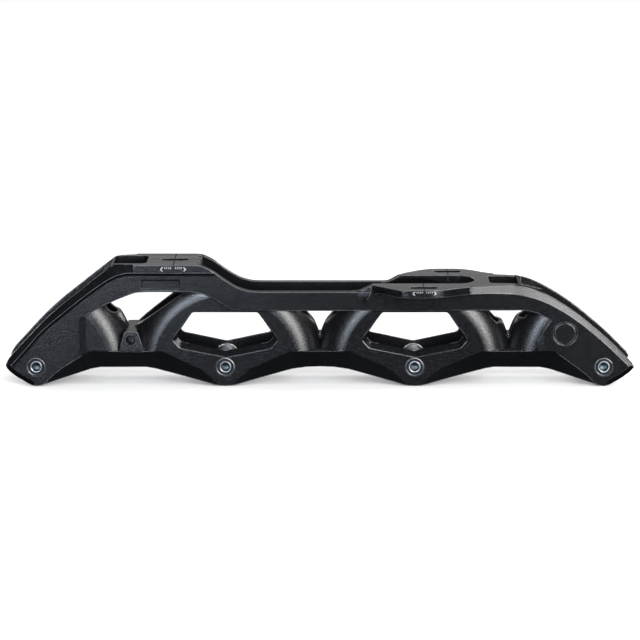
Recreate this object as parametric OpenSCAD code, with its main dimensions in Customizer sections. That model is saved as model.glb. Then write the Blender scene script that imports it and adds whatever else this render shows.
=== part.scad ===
// Four-wheel inline skate frame with a three-point slotted boot mount.
// Frame: X runs from heel to toe, Y to the skater's left, Z up.
// The origin is on the surface the frame stands on, under the middle of the four axles.
// All outlines are written around the axle line and lifted by axle_h when drawn.

/* [Wheels] */
// Distance from the heel axle to the toe axle
wheelbase = 320; // [318:1:322]
// Diameter of the wheels the bays are cut for
wheel_d = 100; // [98:1:100]
// Free space between a tyre and the guard wall around it
tyre_gap = 2.4; // [2:0.1:2.6]
// Free width between the two side plates
bay_w = 26.8; // [26.4:0.2:27.4]
// Free width between the axle bosses, the width of a wheel with its bearings
hub_w = 24.4; // [24.2:0.1:24.8]

/* [Casting] */
// Height of the axle line above the feet of the frame
axle_h = 11; // [11:0.5:13]
// Thickness of the side plates
plate_t = 3.2; // [2.8:0.1:3.4]
// How far the upper rail stands proud of the side plate
rail_proud = 0.6; // [0.4:0.1:0.8]
// Height of the toe deck above the axle line
toe_deck_h = 47.1; // [46.8:0.1:47.4]
// Height of the heel deck above the axle line
heel_deck_h = 58.7; // [58.4:0.1:59]
// Half width of the toe deck over its two mounting ears
toe_half_w = 32.5; // [31.5:0.5:33.5]

/* [Boot mount] */
// Length of each mounting slot
slot_l = 16; // [14:0.5:17]
// Width of each mounting slot
slot_w = 7; // [6.5:0.25:7.5]
// Position of the heel slot
heel_slot_x = -82; // [-84:0.5:-80]
// Position of the right toe slot
toe_slot_right_x = 58; // [57:0.5:59]
// Position of the left toe slot, further forward under the big toe joint
toe_slot_left_x = 73; // [72:0.5:74]
// Distance of the toe slots from the centre plane
toe_slot_y = 24; // [23:0.25:24.5]

/* [Axles] */
// Diameter of the axle shank
axle_d = 8; // [7.8:0.1:8]
// Diameter of the axle head
head_d = 10.3; // [10:0.1:10.6]
// Thickness of the axle head
head_t = 2.5; // [2.2:0.1:2.8]
// Hex key size of the axle head, across flats
key_af = 4; // [3:0.5:4]
// Outside diameter of the threaded steel insert
insert_d = 11; // [10.5:0.1:11.4]

/* [Brake mount] */
// Tapping diameter of the brake screw thread
brake_tap_d = 4.2; // [4:0.1:4.4]
// Outside diameter of the brake screw insert
brake_insert_d = 6; // [5.6:0.1:6.2]

/* [Hidden] */
$fn = 48;

kx = wheelbase / 320;
pitch = wheelbase / 3;
axle_x = [-1.5 * pitch, -0.5 * pitch, 0.5 * pitch, 1.5 * pitch];
yi = bay_w / 2;                    // inner face of a side plate
yo = yi + plate_t;                 // outer face of a side plate
yr = yo + rail_proud;              // outer face of the upper rail
yb = hub_w / 2;                    // face of an axle boss
clear_r = wheel_d / 2 + tyre_gap;  // inside of the guard wall
guard_r = clear_r + plate_t - 0.1; // outside of the guard wall
flat_r = 40;                       // the side wall is flat up to here and curls in beyond
chord_h = 9.2;                     // top of the lower chord
rail_base = 43.4;                  // top of the rail between the decks
heel_base = 54;                    // top of the side plate under the heel deck
deck_gap = 12;                     // half width of the wheel opening in the decks
clr = 0.05;                        // running clearance of the axle, on radius
eps = 0.01;

ink = [0.075, 0.08, 0.09];
steel = [0.72, 0.74, 0.76];

// ---------- outlines, as [x, height above the axle line] ----------
heel_tip = [[-177, -0.6], [-177.3, 1], [-176.3, 3.4]];
heel_arm = [[-174.3, 6.2], [-172, 9], [-163.4, 18.2], [-159, 22.8], [-148.8, 32.4], [-128.5, 48.4], [-121.5, heel_base]];
heel_dip = [[-59, heel_base], [-52.5, 49.4], [-45.7, 45.6], [-39, 43.8], [-34, rail_base]];
toe_arm = [[100, toe_deck_h], [108, 47], [113.5, 46.5], [118.7, 45.2], [125.6, 42.2], [133, 38.2], [139.5, 34], [146.4, 29], [153.4, 23.4],
           [160.2, 17.6], [167.3, 11], [174.2, 4]];
toe_tip = [[176.4, 1.6], [177.3, -0.4]];
foot_half = [[0, -0.2], [8, -0.5], [16, -1.7], [45.6, -9.9], [49.6, -10.7], [53.3, -11], [57, -10.7], [61, -9.9],
             [93, -1.4], [98, -0.5], [124, -0.6], [129, -1.5], [155.5, -10], [160, -11], [164, -10.3], [170.8, -6.2], [175, -3]];

function kxs(pts) = [for (p = pts) [p[0] * kx, p[1]]];
function backwards(pts) = [for (i = [len(pts) - 1:-1:0]) pts[i]];
function heelwards(pts) = [for (i = [1:len(pts) - 1]) [-pts[i][0], pts[i][1]]];

outline = kxs(concat(heel_tip, heel_arm, heel_dip, [[100, rail_base]], toe_arm, toe_tip, backwards(foot_half), heelwards(foot_half)));

// lower edge of the upper rail over each gap between wheels
rear_edge = [[-134, 28], [-124, 33.6], [-117.5, 37], [-105, 42.2], [-100, 42.9], [-69.5, 42.7], [-63, 40.6], [-57, 37.1], [-53.3, 35]];
middle_edge = [[-53.3, 35], [-50, 33.2], [-44, 32.2], [53.3, 32.2]];
front_edge = [[53.3, 32.2], [95, 32.4], [115, 32.4], [122.5, 30.6], [133, 25.5]];

window = [[-18.2, 31.3], [18.2, 31.3], [27.8, 18], [26.3, 14.8], [0, 9.3], [-26.3, 14.8], [-27.8, 18]];
window_r = [4, 4, 1.5, 1.5, 12, 1.5, 1.5];

// plan of the toe deck: right ear (skater's right, -Y), then left ear
right_ear = [[29.8, -yr], [36, -22.8], [40.5, -28], [44.7, -31.8], [48.2, -toe_half_w], [68.5, -toe_half_w], [73, -31.6], [77.8, -28.6], [82.4, -24.6], [89.4, -19.4], [95, -yr]];
left_ear = [[99.6, yr], [93.1, 22.3], [89.1, 26.5], [84.7, 29.9], [79, 32], [75, toe_half_w], [68, toe_half_w], [62.4, 31], [57.6, 28.3], [52.2, 23.6], [46, yr]];

// ---------- helpers ----------
function unit(v) = v / norm(v);
// polygon p with corner i rounded to radius r[i], n steps per corner
function rounded(p, r, n = 5) = [
  for (i = [0:len(p) - 1])
    let (a = p[(i + len(p) - 1) % len(p)], b = p[i], c = p[(i + 1) % len(p)],
         u = unit(a - b), v = unit(c - b), half = acos(u * v) / 2,
         o = b + unit(u + v) * r[i] / sin(half),
         s = b + u * r[i] / tan(half) - o, e = b + v * r[i] / tan(half) - o,
         a0 = atan2(s[1], s[0]), d0 = atan2(e[1], e[0]) - a0,
         d = d0 > 180 ? d0 - 360 : d0 < -180 ? d0 + 360 : d0)
      for (k = [0:n]) o + r[i] * [cos(a0 + d * k / n), sin(a0 + d * k / n)]
];

// a drawing in X and height, given thickness from y0 to y1
module slab(y0, y1) {
  translate([0, y1, axle_h]) rotate([90, 0, 0]) linear_extrude(height = y1 - y0) children();
}
// a drawing in X and Y, given thickness from height h0 to h1
module sheet(h0, h1) {
  translate([0, 0, axle_h + h0]) linear_extrude(height = h1 - h0) children();
}
// a round bar along Y on the axle line of one wheel
module bar(x, r, y0, y1) {
  translate([x, y1, axle_h]) rotate([90, 0, 0]) cylinder(r = r, h = y1 - y0);
}
module cone_bar(x, r0, r1, y0, y1) {
  translate([x, y0, axle_h]) rotate([-90, 0, 0]) cylinder(r1 = r0, r2 = r1, h = y1 - y0);
}
// a wheel-shaped solid: flat sides to flat_r, then a round nose out to radius r
module wheel_form(x, half, r) {
  c = r - flat_r;
  translate([x, 0, axle_h]) rotate([90, 0, 0]) rotate_extrude($fn = 96) {
    translate([0, -half]) square([flat_r, 2 * half]);
    translate([flat_r, -(half - c)]) square([c, 2 * (half - c)]);
    for (s = [-1, 1]) intersection() {
      translate([flat_r, s * (half - c)]) circle(r = c);
      translate([flat_r, s > 0 ? half - c : -half]) square([c, c]);
    }
  }
}
module wheel_space(i) { wheel_form(axle_x[i], yi, clear_r); }
module wheel_cover(i) { wheel_form(axle_x[i], yo, guard_r); }
// takes the outer corner off the right side plate along one straight stretch: n down the face, d into the plate
module bevel(p, q, face, n, d, before = 0, after = 0) {
  len_pq = norm(q - p);
  e = 1.5;
  translate([p[0], 0, axle_h + p[1]]) rotate([0, -atan2(q[1] - p[1], q[0] - p[0]), 0])
    translate([-before, 0, 0]) rotate([90, 0, 90]) linear_extrude(height = len_pq + before + after)
      polygon([[-face - e, -n - e * n / d], [-face + d + e, e * n / d], [-face - e, e * n / d]]);
}
module slot_2d(x, y) {
  run = slot_l - slot_w;
  translate([x, y]) square([run, slot_w], center = true);
  for (s = [-1, 1]) translate([x + s * run / 2, y]) circle(d = slot_w);
}

// ---------- areas of the side view ----------
// the hollow between two wheels: under the rail, over the lower chord and outside both flat discs
module valley(edge, i, x0, x1) {
  difference() {
    polygon(concat(kxs(edge), [[x1, chord_h], [x0, chord_h]]));
    for (k = [i, i + 1]) translate([axle_x[k], 0]) circle(r = flat_r, $fn = 96);
  }
}
module rear_valley() { valley(rear_edge, 0, -134 * kx, axle_x[1]); }
module middle_valley() { valley(middle_edge, 1, axle_x[1], axle_x[2]); }
module front_valley() { valley(front_edge, 2, axle_x[2], 133 * kx); }
module side_2d() {
  difference() {
    polygon(outline);
    rear_valley();
    middle_valley();
    front_valley();
    for (i = [1, 2]) translate([axle_x[i], 0]) polygon(rounded(window, window_r));
  }
}
// the rail and arms, which stand proud of the plate
module rail_2d() {
  polygon(kxs(concat(heel_arm, heel_dip, [[100, rail_base]], toe_arm,
    [[171, 0], [133, 25.5], [122.5, 30.6], [115, 32.4], [95, 32.4], [-44, 32.2], [-50, 33.2], [-57, 37.1], [-63, 40.6], [-69.5, 42.7],
     [-100, 42.9], [-105, 42.2], [-117.5, 37], [-124, 33.6], [-134, 28], [-170, 0]])));
}

// ---------- the casting ----------
// one side wall: rail, arms, window posts and lower chord, drawn for the skater's right
module side_plate(threaded) {
  head_seat = -(yo - head_t);
  difference() {
    union() {
      slab(-yo, -yi) side_2d();
      slab(-yr, -yo) rail_2d();
      for (x = axle_x) bar(x, 7.25, -yi - eps, -yb);
    }
    // bevels along the arms
    for (k = [0:len(heel_arm) - 2]) bevel(kxs(heel_arm)[k], kxs(heel_arm)[k + 1], yr, 3.4, 2.8, 1, 1);
    for (k = [0:len(toe_arm) - 2]) bevel(kxs(toe_arm)[k], kxs(toe_arm)[k + 1], yr, 4.6, 3, k == 0 ? 0 : 1, 1);
    // skirt along the underside of the lower chord
    for (s = [-1, 1]) bevel([s > 0 ? 123 * kx : -99 * kx, -0.6], [s > 0 ? 99 * kx : -123 * kx, -0.6], yo, 8.6, 2);
    bevel([8, -0.4], [-8, -0.4], yo, 8.6, 2);
    // chamfered window sills
    for (i = [1, 2]) translate([axle_x[i], 0, 0]) for (s = [-1, 1])
      bevel([s < 0 ? -26.3 : 0, s < 0 ? 14.8 : 9.3], [s < 0 ? 0 : 26.3, s < 0 ? 9.3 : 14.8], yo, 2.8, 2.6);
    for (x = axle_x) {
      if (threaded) bar(x, insert_d / 2, -yr - 1, -yb + 1);
      else {
        bar(x, axle_d / 2 + clr, -yr - 1, -yb + 1);
        bar(x, head_d / 2 + 0.1, -yr - 1, head_seat);
        cone_bar(x, head_d / 2 + 0.6, head_d / 2 + 0.1, -yo - eps, -yo + 0.5);
      }
    }
  }
}
module right_side_plate() { color(ink) side_plate(false); }
module left_side_plate() { color(ink) mirror([0, 1, 0]) side_plate(true); }

// heel platform over the two rails, with one slot on the centre line
module heel_deck() {
  top = kxs([[-121.5, heel_base], [-116.8, 57.6], [-114.5, heel_deck_h], [-70, heel_deck_h], [-66, 57.9], [-62.8, 56.4], [-59, heel_base]]);
  color(ink) difference() {
    union() {
      slab(-yr, yr) polygon(top);
      slab(-yi, yi) polygon(kxs([[-98, heel_base + 0.5], [-98, 51], [-69, 52.4], [-69, heel_base + 0.5]]));
    }
    sheet(50, 60) polygon(rounded(kxs([[-116, -deck_gap], [-98, -deck_gap], [-98, deck_gap], [-116, deck_gap]]), [3, 5, 5, 3]));
    sheet(50, 60) polygon(kxs([[-68, -deck_gap], [-55, -deck_gap], [-55, deck_gap], [-68, deck_gap], [-68, 9], [-69.8, 7.5], [-69.8, -7.5], [-68, -9]]));
    sheet(50, 60) slot_2d(heel_slot_x, 0);
    wheel_space(1);
  }
}
// toe platform with an ear and a slot on each side of the wheel
module toe_deck() {
  color(ink) difference() {
    union() {
      sheet(rail_base, toe_deck_h) polygon(kxs(concat(right_ear, [[100, -yr], [100, yr]], left_ear)));
      // ramps up from the rails
      slab(-yr, -deck_gap) polygon(kxs([[20.7, rail_base], [30.5, toe_deck_h], [34, toe_deck_h], [34, rail_base]]));
      slab(deck_gap, yr) polygon(kxs([[36.8, rail_base], [46.6, toe_deck_h], [48, toe_deck_h], [48, rail_base]]));
      // cross tie in front of the wheel opening
      slab(-yi, yi) polygon(kxs([[87, rail_base + 0.5], [88.5, 38.5], [94, 38.5], [95.5, rail_base + 0.5]]));
      // lips on to the toe end bridge
      slab(-yi, yi) polygon(kxs([[99, 43.6], [111.5, 43.2], [111.5, 46.6], [108, 47], [100, toe_deck_h], [99, toe_deck_h]]));
    }
    // room for the wheel that reaches up through the deck
    sheet(30, 60) {
      polygon(rounded(kxs([[15, -deck_gap], [87, -deck_gap], [87, deck_gap], [15, deck_gap]]), [1, 11, 11, 1], 8));
      polygon(rounded(kxs([[95.5, -10.5], [120, -10.5], [120, 10.5], [95.5, 10.5]]), [3, 1, 1, 3]));
    }
    sheet(30, 60) { slot_2d(toe_slot_right_x, -toe_slot_y); slot_2d(toe_slot_left_x, toe_slot_y); }
    wheel_space(2);
  }
}
// cross ties between the arms, in front of the heel wheel and behind the toe wheel
module heel_end_bridge() {
  color(ink) difference() {
    slab(-yi, yi) polygon(kxs([[-130, 47.2], [-128.5, 48.4], [-121.5, heel_base], [-116, heel_base], [-116, 48.5], [-121, 44.5], [-126, 41.5]]));
    wheel_space(0);
  }
}
module toe_end_bridge() {
  color(ink) difference() {
    slab(-yi, yi) polygon(kxs([[111.5, 46.6], [113.5, 46.5], [118.7, 45.2], [125.6, 42.2], [123, 38.5], [118, 39.5], [111.5, 40]]));
    wheel_space(3);
  }
}
// guard walls that curl round the backs of two wheels and meet between them, on a floor
module guard_bridge(i, cut_low, cut_high) {
  difference() {
    union() {
      intersection() {
        slab(-yo, yo) intersection() { children(0); polygon(cut_low); }
        wheel_cover(i);
      }
      intersection() {
        slab(-yo, yo) intersection() { children(0); polygon(cut_high); }
        wheel_cover(i + 1);
      }
      slab(-yi, yi) polygon([[axle_x[i] + 45, 6.4], [axle_x[i + 1] - 45, 6.4], [axle_x[i + 1] - 45, chord_h], [axle_x[i] + 45, chord_h]]);
    }
    wheel_space(i);
    wheel_space(i + 1);
  }
}
// area below a guard's rim, for the wall in front of wheel i (s = 1) or behind it (s = -1)
function below_rim(i, s, nose = 24, rise = 0.68) =
  [for (p = [[20, nose + rise * 29.5], [60, nose - rise * 10.5], [60, 0], [20, 0]]) [axle_x[i] + s * p[0], p[1]]];
function below_level(i, s, level) = [for (p = [[15, level], [60, level], [60, 0], [15, 0]]) [axle_x[i] + s * p[0], p[1]]];

module rear_guard_bridge() { color(ink) guard_bridge(0, below_level(0, 1, 30.2), below_rim(1, -1)) rear_valley(); }
module middle_guard_bridge() { color(ink) guard_bridge(1, below_rim(1, 1), below_rim(2, -1)) middle_valley(); }
module front_guard_bridge() { color(ink) guard_bridge(2, below_rim(2, 1), below_rim(3, -1)) front_valley(); }

// bar across the first gap that takes the brake screw
module brake_bridge() {
  m = -pitch;
  color(ink) difference() {
    slab(-yo, yo) polygon([[m - 6.9, chord_h], [m - 3.6, 19.7], [m - 3, 20.3], [m + 3, 20.3], [m + 3.6, 19.7], [m + 6.9, chord_h]]);
    wheel_cover(0);
    wheel_cover(1);
    for (s = [-1, 1]) translate([m, s * (yo + 1), axle_h + 15.4]) rotate([s * 90, 0, 0]) cylinder(d = brake_insert_d, h = 6.8);
  }
}
module brake_insert(s) {
  translate([-pitch, s * yo, axle_h + 15.4]) rotate([s * 90, 0, 0]) difference() {
    cylinder(d = brake_insert_d, h = 5.8);
    translate([0, 0, -1]) cylinder(d = brake_tap_d, h = 8);
    translate([0, 0, -eps]) cylinder(d1 = brake_tap_d + 0.9, d2 = brake_tap_d, h = 0.45);
  }
}
module brake_insert_right() { color(steel) brake_insert(-1); }
module brake_insert_left() { color(steel) brake_insert(1); }

// ---------- axles ----------
// head on the skater's right, shank through both plates into the threaded insert
module axle(i) {
  x = axle_x[i];
  seat = -(yo - head_t);
  face = -yo - 0.1;
  tip = yr - 0.4;
  color(steel) difference() {
    union() {
      bar(x, axle_d / 2, seat - eps, tip - 0.8);
      cone_bar(x, axle_d / 2, axle_d / 2 - 0.8, tip - 0.8, tip);
      bar(x, head_d / 2, face + 0.4, seat);
      cone_bar(x, head_d / 2 - 0.4, head_d / 2, face, face + 0.4);
    }
    translate([x, face + 3, axle_h]) rotate([90, 0, 0]) cylinder(d = key_af / cos(30), h = 4, $fn = 6);
    cone_bar(x, 3.2, 2.2, face - eps, face + 0.7);
    // thread run-out ahead of the insert
    translate([x, yb - 1.4, axle_h]) rotate([-90, 0, 0]) difference() {
      cylinder(r = axle_d, h = 0.8);
      translate([0, 0, -1]) cylinder(r = axle_d / 2 - 0.35, h = 3);
    }
  }
}
module axle_1() { axle(0); }
module axle_2() { axle(1); }
module axle_3() { axle(2); }
module axle_4() { axle(3); }

// steel insert in the left plate that the axle screws into
module axle_insert(i) {
  x = axle_x[i];
  color(steel) difference() {
    bar(x, insert_d / 2, yb, yo);
    bar(x, axle_d / 2 + clr, yb - 1, yr + 1);
    cone_bar(x, axle_d / 2 + clr, axle_d / 2 + 0.6, yo - 0.5, yo + eps);
  }
}
module axle_insert_1() { axle_insert(0); }
module axle_insert_2() { axle_insert(1); }
module axle_insert_3() { axle_insert(2); }
module axle_insert_4() { axle_insert(3); }

right_side_plate();
left_side_plate();
heel_deck();
toe_deck();
heel_end_bridge();
toe_end_bridge();
rear_guard_bridge();
middle_guard_bridge();
front_guard_bridge();
brake_bridge();
brake_insert_right();
brake_insert_left();
axle_1();
axle_2();
axle_3();
axle_4();
axle_insert_1();
axle_insert_2();
axle_insert_3();
axle_insert_4();
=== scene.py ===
import math

import bpy
import numpy as np
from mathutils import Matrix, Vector


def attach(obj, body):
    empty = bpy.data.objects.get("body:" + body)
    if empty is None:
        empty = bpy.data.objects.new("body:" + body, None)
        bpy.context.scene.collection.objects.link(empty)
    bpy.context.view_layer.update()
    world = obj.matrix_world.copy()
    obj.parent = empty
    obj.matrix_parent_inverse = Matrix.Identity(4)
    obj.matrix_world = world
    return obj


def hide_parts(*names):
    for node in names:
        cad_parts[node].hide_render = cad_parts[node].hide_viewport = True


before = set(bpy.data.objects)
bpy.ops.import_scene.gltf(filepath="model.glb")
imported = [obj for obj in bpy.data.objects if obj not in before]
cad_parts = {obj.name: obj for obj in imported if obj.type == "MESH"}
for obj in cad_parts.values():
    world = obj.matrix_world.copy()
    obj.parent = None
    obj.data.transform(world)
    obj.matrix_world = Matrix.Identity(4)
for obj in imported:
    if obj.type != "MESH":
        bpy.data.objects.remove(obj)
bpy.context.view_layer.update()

# ---------------------------------------------------------------- sizes, in mm
# x runs from heel to toe, y to the skater's left, h is the height above the axle line
AXLE_H = 11.0
P = 320.0 / 3.0
AX = [-1.5 * P, -0.5 * P, 0.5 * P, 1.5 * P]
YI = 13.4        # inner face of a side wall
YP = 16.6        # outer face of a side wall
RAIL = 0.5       # the upper rail stands proud of it
FLANGE = 18.1    # outer edge of the heel deck's flange
HEEL, TOE = 58.7, 47.1


def smoothstep(e0, e1, v):
    t = np.clip((v - e0) / (e1 - e0), 0.0, 1.0)
    return t * t * (3.0 - 2.0 * t)


def rmax(a, b, r):
    """Intersection of two solids with the shared edge rounded to radius r."""
    return np.minimum(-r, np.maximum(a, b)) + np.sqrt(np.maximum(a + r, 0.0) ** 2 + np.maximum(b + r, 0.0) ** 2)


def smin(a, b, k):
    """Union of two solids with a fillet of about k in the corner between them."""
    t = np.maximum(k - np.abs(a - b), 0.0)
    return np.minimum(a, b) - t * t / (4.0 * k)


def spline(pts, n=6):
    """A smooth line through the points."""
    p = np.asarray(pts, float)
    q = np.vstack([2 * p[0] - p[1], p, 2 * p[-1] - p[-2]])
    out = []
    for i in range(1, len(q) - 2):
        for t in np.arange(n) / n:
            out.append(0.5 * (2 * q[i] + (q[i + 1] - q[i - 1]) * t
                              + (2 * q[i - 1] - 5 * q[i] + 4 * q[i + 1] - q[i + 2]) * t * t
                              + (3 * q[i] - q[i - 1] - 3 * q[i + 1] + q[i + 2]) * t ** 3))
    out.append(p[-1])
    return [tuple(v) for v in out]


def polygon_distance(poly, u, v):
    """Signed distance to a closed polygon, negative inside."""
    shape = np.broadcast(u, v).shape
    d2 = np.full(shape, 1e9)
    inside = np.zeros(shape, bool)
    n = len(poly)
    for i in range(n):
        (ax, ay), (bx, by) = poly[i], poly[(i + 1) % n]
        ex, ey = bx - ax, by - ay
        if ex == 0 and ey == 0:
            continue
        wx, wy = u - ax, v - ay
        t = np.clip((wx * ex + wy * ey) / (ex * ex + ey * ey), 0.0, 1.0)
        d2 = np.minimum(d2, (wx - ex * t) ** 2 + (wy - ey * t) ** 2)
        if ay != by:
            inside ^= ((ay <= v) != (by <= v)) & (u < ax + (v - ay) / (by - ay) * ex)
    return np.where(inside, -1.0, 1.0) * np.sqrt(d2)


def line_distance(line, u, v):
    """Distance to an open line of segments."""
    d2 = np.full(np.broadcast(u, v).shape, 1e9)
    for (ax, ay), (bx, by) in zip(line[:-1], line[1:]):
        ex, ey = bx - ax, by - ay
        if ex == 0 and ey == 0:
            continue
        t = np.clip(((u - ax) * ex + (v - ay) * ey) / (ex * ex + ey * ey), 0.0, 1.0)
        d2 = np.minimum(d2, (u - ax - ex * t) ** 2 + (v - ay - ey * t) ** 2)
    return np.sqrt(d2)


def blur(a, sigma):
    """Rounds the corners of a table of distances; sigma in cells."""
    n = int(3 * sigma + 1)
    k = np.exp(-0.5 * (np.arange(-n, n + 1) / sigma) ** 2)
    k /= k.sum()
    for axis in (0, 1):
        pad = [(0, 0), (0, 0)]
        pad[axis] = (n, n)
        b = np.pad(a, pad, mode="edge")
        m = a.shape[axis]
        a = sum(k[j] * np.take(b, np.arange(j, j + m), axis) for j in range(2 * n + 1))
    return a


class Table:
    """A function of two coordinates kept on a fine grid and read with bilinear interpolation."""

    def __init__(self, values, u0, v0, step):
        self.a, self.u0, self.v0, self.s = np.ascontiguousarray(values, np.float64), u0, v0, step

    def __call__(self, u, v):
        a = self.a
        fu = np.clip((u - self.u0) / self.s, 0.0, a.shape[0] - 1.001)
        fv = np.clip((v - self.v0) / self.s, 0.0, a.shape[1] - 1.001)
        i, j = fu.astype(np.int32), fv.astype(np.int32)
        fu, fv = fu - i, fv - j
        return (a[i, j] * (1 - fu) + a[i + 1, j] * fu) * (1 - fv) + (a[i, j + 1] * (1 - fu) + a[i + 1, j + 1] * fu) * fv


# ---------------------------------------------------------------- outlines
STEP = 0.25
GU, GV, GW = np.arange(-183, 183, STEP), np.arange(-15, 64, STEP), np.arange(-36, 36, STEP)
XU, HV = GU[:, None], GV[None, :]
XP, YV = GU[:, None], GW[None, :]

heel_tip = [(-175, -3), (-177, -0.5), (-177.3, 1.0), (-176.2, 3.4)]
heel_arm = spline([(-174.2, 6.3), (-169, 11.9), (-163.4, 18.0), (-156, 25.7), (-148.8, 32.4), (-143, 37.2), (-135.5, 43.1), (-128.5, 48.7), (-118.6, 56.4)], 5)
heel_top = spline([(-118.6, 56.4), (-116.6, 57.85), (-114.2, 58.6), (-112, HEEL)], 4) + [(-71, HEEL)]
heel_dip = spline([(-71, HEEL), (-68.4, 58.55), (-66, 57.95), (-62.8, 56.5), (-59.4, 54.5), (-52.5, 49.6), (-45.7, 45.7), (-39, 43.75), (-33, 43.4)], 5)
toe_arm = spline([(101, TOE), (107, 47.0), (113.5, 46.5), (118.7, 45.3), (125.6, 42.3), (133, 38.2), (139.5, 34.1), (146.4, 29.1), (153.4, 23.4), (160.2, 17.6), (167.3, 11.0), (174.2, 4.0)], 4)
toe_tip = [(176.3, 1.7), (177.3, -0.4), (175, -3)]
foot = [(0, -0.2), (8, -0.5), (16, -1.7), (45.6, -9.9), (49.6, -10.75), (53.3, -11), (57, -10.75), (61, -9.9), (93, -1.4), (98, -0.5), (124, -0.6),
        (129, -1.5), (155.5, -10), (160, -11), (164, -10.3), (170.8, -6.2)]
outline = (heel_tip + heel_arm[:-1] + heel_top[:-1] + heel_dip + [(101, 43.4)] + toe_arm + toe_tip
           + foot[::-1] + [(-x, h) for x, h in foot[1:]])

rear_edge = spline([(-134, 28), (-124, 33.6), (-117.5, 37), (-105, 42.0), (-99, 42.8), (-84, 42.9), (-69.5, 42.7), (-63, 40.6), (-57, 37.1), (-50, 33.2), (-44, 32.2)], 5)
rear_valley = [(-134, 28)] + rear_edge[1:-8] + [(AX[1], 9.2), (-134, 9.2)]
middle_valley = [(AX[1], 32.2), (AX[2], 32.2), (AX[2], 9.2), (AX[1], 9.2)]
front_edge = spline([(95, 32.4), (108, 32.4), (115, 32.3), (122.5, 30.5), (133, 25.5)], 5)
front_valley = [(AX[2], 32.3)] + front_edge + [(133, 9.2), (AX[2], 9.2)]
rail = (heel_arm[3:] + heel_top + heel_dip + [(101, 43.4)] + toe_arm[:-3] + [(171, 0)] + front_edge[::-1] + [(60, 32.2), (-44, 32.2)] + rear_edge[::-1][1:] + [(-170, 0)])

window_in = [(-18.2, 31.3), (18.2, 31.3), (26.9, 18.4), (27.3, 16.9), (24.6, 14.0), (0, 8.7), (-24.6, 14.0), (-27.3, 16.9), (-26.9, 18.4)]
window_out = [(-18.2, 31.4), (18.2, 31.4), (28.7, 17.6), (29.4, 15.2), (25.6, 10.7), (0, 5.6), (-25.6, 10.7), (-29.4, 15.2), (-28.7, 17.6)]

flange_line = spline([(-176.6, -2.2), (-174, 0.8), (-165, 11.0), (-155.6, 21.4), (-141, 33.7), (-126.1, 45.2), (-116, 51.6), (-108.3, 54.0)], 5) + [(-60, 54.0)]
flange_area = flange_line + [(-50, 54), (-50, 75), (-195, 75), (-195, -2.2)]
front_line = [(78.5, 42.5)] + spline([(84.6, 42.4), (95.4, 42.4), (106.5, 41.9), (113, 41.2), (118.5, 39.9), (124, 38.1), (129, 36.0), (138.1, 30.9), (147.2, 24.5), (156.5, 16.9), (165.5, 8.8), (174.5, -0.1), (176.6, -2.2)], 4)
front_area = front_line + [(195, -2.2), (195, 75), (78.5, 75)]


def gap_skirt(m, left, right, lo, hi):
    """The part of the lower chord's face that leans in under the line from axle to axle."""
    return [(lo + 3.8, -10.6), (lo + 9.3, -5.0), (lo + 14.6, -0.9), (left, 9.2), (right, 9.2), (hi - 14.6, -0.9), (hi - 9.3, -5.0), (hi - 3.8, -10.6),
            (hi - 3.8, -14), (lo + 3.8, -14)]


skirts = [gap_skirt(-P, -129.8, -91.3 + 2, AX[0], AX[1]), gap_skirt(0, -16.5, 16.5, AX[1], AX[2]), gap_skirt(P, 91.5, 131.5, AX[2], AX[3])]

right_ear = spline([(29.0, -15.5), (31.0, -18.2), (36, -22.9), (40.5, -28.2), (44.5, -31.6), (48.4, -32.5)], 4) + \
    spline([(56.5, -32.8), (60.5, -32.7), (65, -32.1), (69.5, -30.4), (73.5, -27.9), (77.2, -25.5), (81, -23.5), (84.2, -21.9), (89.5, -20.6), (95.2, -19.6), (101, -18.5), (107, -17.5), (113, -16.7)], 4)
left_ear = spline([(113, 16.7), (106, 17.1), (99.8, 18.0), (93.1, 22.3), (89.1, 26.4), (84.7, 29.8), (79.5, 32.0), (75, 32.5)], 4) + \
    spline([(68, 32.5), (62.4, 31.1), (57.6, 28.3), (52.2, 23.6), (48, 19.0), (45.2, 15.5)], 4)
toe_plan = right_ear + [(124, -15.6), (124, 15.6)] + left_ear + [(45.2, 10), (29, -10)]


def disc(x, h, i):
    return np.sqrt((x - AX[i]) ** 2 + h ** 2)


def slot_area(u, v, x, y, length=15.8, width=7.0):
    return np.sqrt(np.maximum(np.abs(u - x) - (length - width) / 2, 0) ** 2 + (v - y) ** 2) - width / 2


def round_box(u, v, u0, u1, v0, v1, r):
    du, dv = np.abs(u - (u0 + u1) / 2) - (u1 - u0) / 2 + r, np.abs(v - (v0 + v1) / 2) - (v1 - v0) / 2 + r
    return np.sqrt(np.maximum(du, 0) ** 2 + np.maximum(dv, 0) ** 2) + np.minimum(np.maximum(du, dv), 0) - r


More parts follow.
